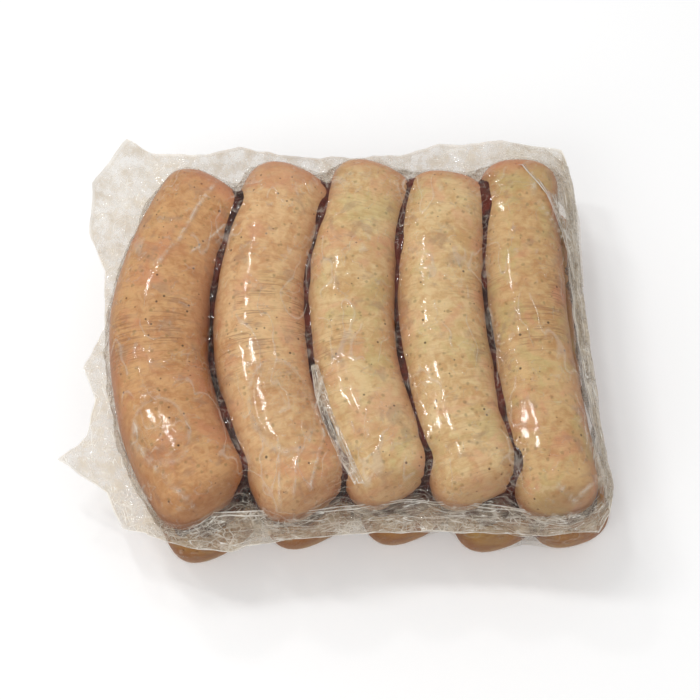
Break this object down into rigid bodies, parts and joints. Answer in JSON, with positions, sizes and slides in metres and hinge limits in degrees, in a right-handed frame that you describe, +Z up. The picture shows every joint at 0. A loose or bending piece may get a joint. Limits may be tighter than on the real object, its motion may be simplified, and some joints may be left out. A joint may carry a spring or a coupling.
{
  "type": "vacuum pack of sausage links",
  "caption": "Clear vacuum-sealed film pack of fresh bowed sausage links, laid side by side in two layers, with a crinkled welded margin all round.",
  "frame": {"origin": "middle of the whole pack's footprint, on the surface that it lies on", "axes": "+X across the sausages to the right, +Y along them to the back of the pack, +Z up through the shown face"},
  "size_m": [0.2113, 0.1788, 0.0623],
  "materials": {
    "clear_film": "clear glossy film drawn tight over pale tan sausage; hazy and crinkled at its welded margin",
    "sausage": "moist natural casing over coarse pale meat, mottled cream, tan and pink with herb flecks and pepper",
    "meat_juice": "dark red-brown liquid in the grooves between the sausages"
  },
  "bodies": {
    "root": {"vacuum_pack": "clear_film"}
  },
  "joints": []
}
